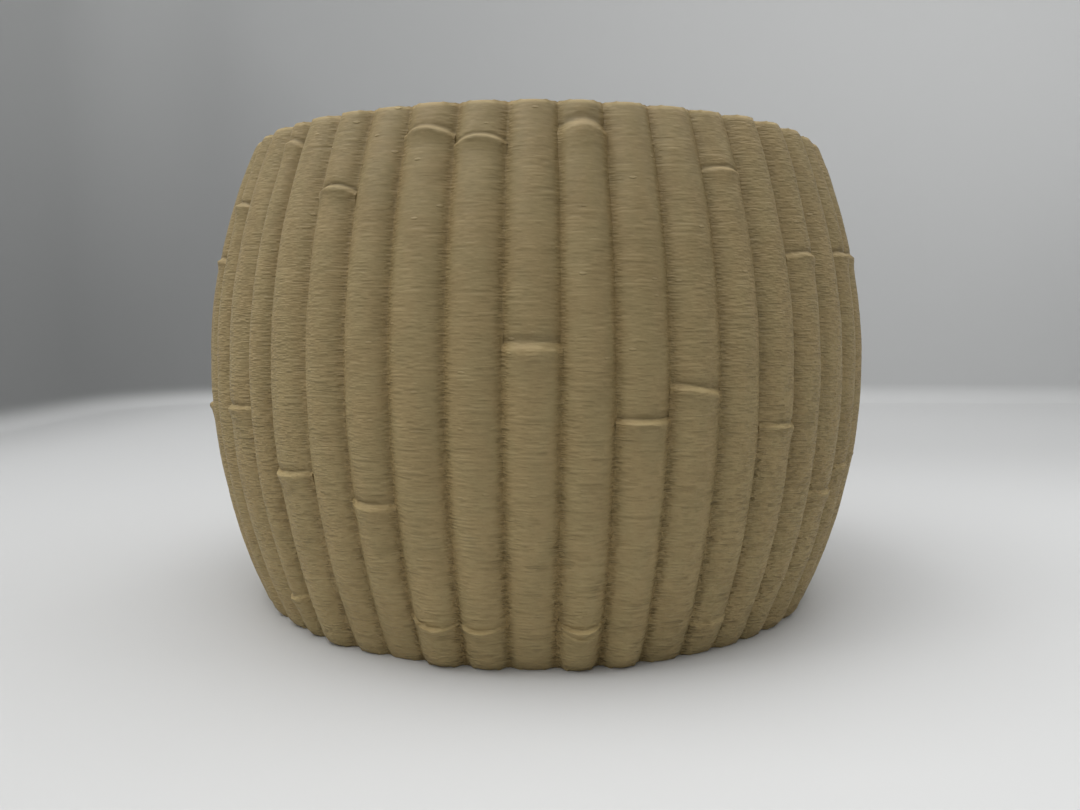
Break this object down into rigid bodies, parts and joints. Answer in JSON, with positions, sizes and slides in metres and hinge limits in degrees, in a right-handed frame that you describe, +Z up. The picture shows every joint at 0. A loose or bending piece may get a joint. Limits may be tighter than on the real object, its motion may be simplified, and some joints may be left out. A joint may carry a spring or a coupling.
{
  "type": "bamboo flower pot",
  "caption": "Barrel-shaped flower pot faced all round with bowed bamboo culms with staggered node lips; flat rim and base, round hollow, drain hole in the floor.",
  "frame": {"origin": "middle of the base, on the surface that the pot stands on", "axes": "+Z up through the mouth; -Y towards culm_01, the culm in the middle of the pictured side"},
  "size_m": [0.1198, 0.1208, 0.08],
  "materials": {
    "culm": "matte khaki, with fine level print lines",
    "wall": "matte khaki, with fine level print lines",
    "floor": "matte khaki, with fine strands side by side"
  },
  "bodies": {
    "root": {"culm_01": "culm", "culm_02": "culm", "culm_03": "culm", "culm_04": "culm", "culm_05": "culm", "culm_06": "culm", "culm_07": "culm", "culm_08": "culm", "culm_09": "culm", "culm_10": "culm", "culm_11": "culm", "culm_12": "culm", "culm_13": "culm", "culm_14": "culm", "culm_15": "culm", "culm_16": "culm", "culm_17": "culm", "culm_18": "culm", "culm_19": "culm", "culm_20": "culm", "culm_21": "culm", "culm_22": "culm", "culm_23": "culm", "culm_24": "culm", "culm_25": "culm", "culm_26": "culm", "culm_27": "culm", "culm_28": "culm", "culm_29": "culm", "culm_30": "culm", "culm_31": "culm", "culm_32": "culm", "culm_33": "culm", "culm_34": "culm", "culm_35": "culm", "culm_36": "culm", "culm_37": "culm", "culm_38": "culm", "culm_39": "culm", "culm_40": "culm", "culm_41": "culm", "culm_42": "culm", "culm_43": "culm", "culm_44": "culm", "culm_45": "culm", "culm_46": "culm", "culm_47": "culm", "culm_48": "culm", "culm_49": "culm", "culm_50": "culm", "inner_wall": "wall", "floor": "floor"}
  },
  "joints": []
}
